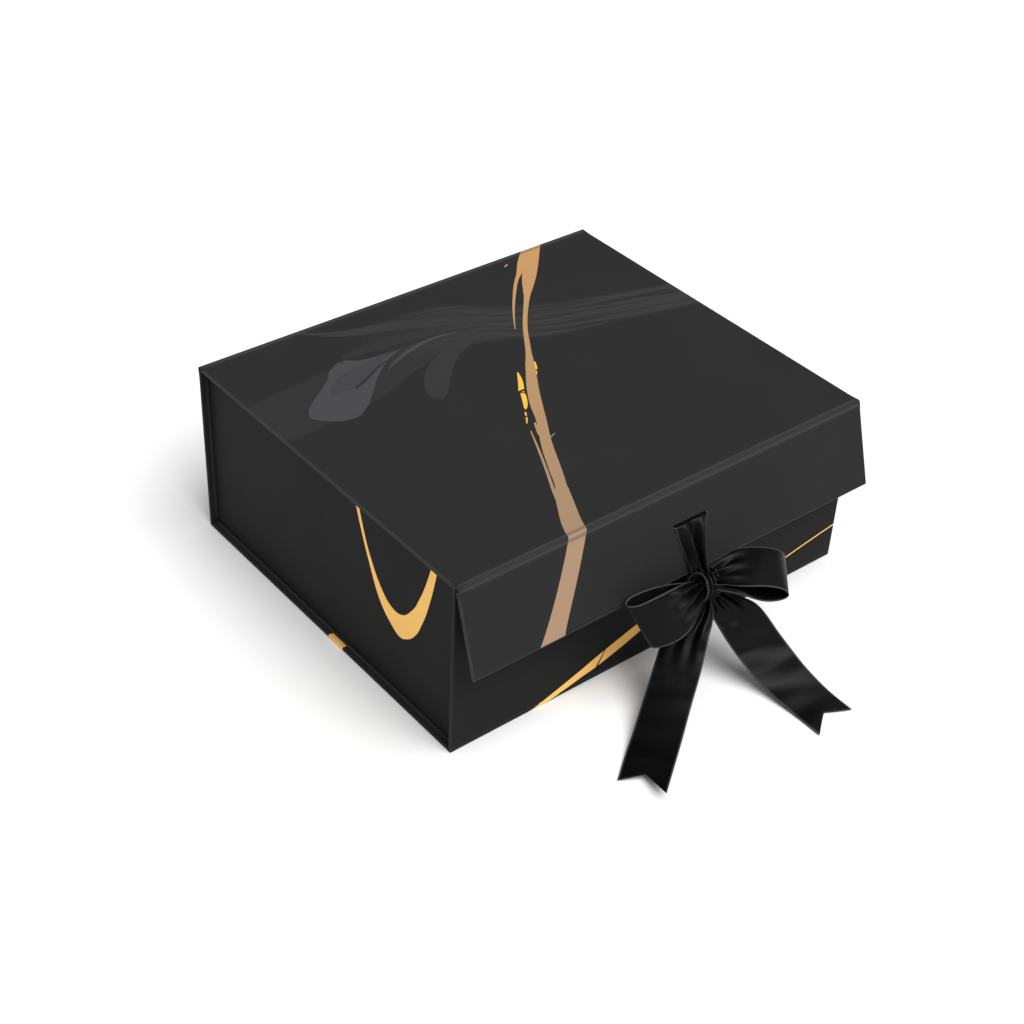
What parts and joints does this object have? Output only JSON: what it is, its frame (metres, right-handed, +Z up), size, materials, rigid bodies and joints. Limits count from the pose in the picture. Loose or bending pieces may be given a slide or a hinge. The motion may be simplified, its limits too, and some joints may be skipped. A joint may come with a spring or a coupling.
{
  "type": "gift box",
  "caption": "Rigid book-style gift box with a hinged lid, a splayed front flap and a satin ribbon drawn through a slot and tied in a bow.",
  "frame": {"origin": "centre of the base's underside", "axes": "+X to the box's right, +Y to the back where the lid hinges, +Z up"},
  "size_m": [0.33, 0.401, 0.13],
  "materials": {
    "lid_paper": "matt soft-touch print, charcoal with a copper foil band and grey brush strokes",
    "case_paper": "matt soft-touch print, near black with gold foil strokes",
    "lining_paper": "plain matt black lining",
    "greyboard": "raw grey chipboard",
    "satin_ribbon": "double-face satin, woven edges",
    "tape": "double-sided tissue tape"
  },
  "bodies": {
    "box": {"base_board": "greyboard", "back_board": "greyboard", "front_board": "greyboard", "base_wrap": "case_paper", "back_wrap": "case_paper", "front_wrap": "case_paper", "base_lining": "lining_paper", "back_lining": "lining_paper", "front_lining": "lining_paper", "left_side_board": "greyboard", "right_side_board": "greyboard", "left_side_wrap": "case_paper", "right_side_wrap": "case_paper", "left_side_lining": "lining_paper", "right_side_lining": "lining_paper", "corner_tabs": "lining_paper", "adhesive_strips": "tape", "lid_crease": "lid_paper", "lower_ribbon": "satin_ribbon", "lower_ribbon_patch": "lining_paper"},
    "lid": {"lid_board": "greyboard", "lid_wrap": "lid_paper", "lid_lining": "lining_paper", "flap_crease": "lid_paper"},
    "flap": {"flap_board": "greyboard", "flap_wrap": "lid_paper", "flap_lining": "lining_paper", "upper_ribbon": "satin_ribbon", "upper_ribbon_patch": "lining_paper"},
    "bow": {"ribbon_fold": "satin_ribbon", "bow_knot": "satin_ribbon", "bow_loop_left": "satin_ribbon", "bow_loop_right": "satin_ribbon"},
    "tails": {"bow_tail_left": "satin_ribbon", "bow_tail_right": "satin_ribbon"},
    "lower_ribbon_tie": {"lower_ribbon_end": "satin_ribbon"}
  },
  "joints": [
    {"name": "lid_hinge", "type": "hinge", "parent": "box", "child": "lid", "pos_m": [0, 0.1377, 0.1287], "axis": [-1, 0, 0], "range_deg": [0, 110]},
    {"name": "flap_hinge", "type": "hinge", "parent": "lid", "child": "flap", "pos_m": [0, -0.1405, 0.1287], "axis": [-1, 0, 0], "range_deg": [0, 72]},
    {"name": "bow_turn", "type": "hinge", "parent": "flap", "child": "bow", "pos_m": [0, -0.15854, 0.07148], "axis": [-1, 0, 0], "range_deg": [-110, 0]},
    {"name": "tails_hang", "type": "hinge", "parent": "bow", "child": "tails", "pos_m": [0, -0.1725, 0.058], "axis": [-1, 0, 0], "range_deg": [-72, 0]},
    {"name": "lower_ribbon_drop", "type": "hinge", "parent": "box", "child": "lower_ribbon_tie", "pos_m": [0, -0.1397, 0.06], "axis": [-1, 0, 0], "range_deg": [-99, 0]}
  ],
  "couplings": [
    {"joint": "bow_turn", "follows": "lid_hinge", "ratio": -1},
    {"joint": "tails_hang", "follows": "flap_hinge", "ratio": -1},
    {"joint": "lower_ribbon_drop", "follows": "lid_hinge", "ratio": -0.9}
  ]
}
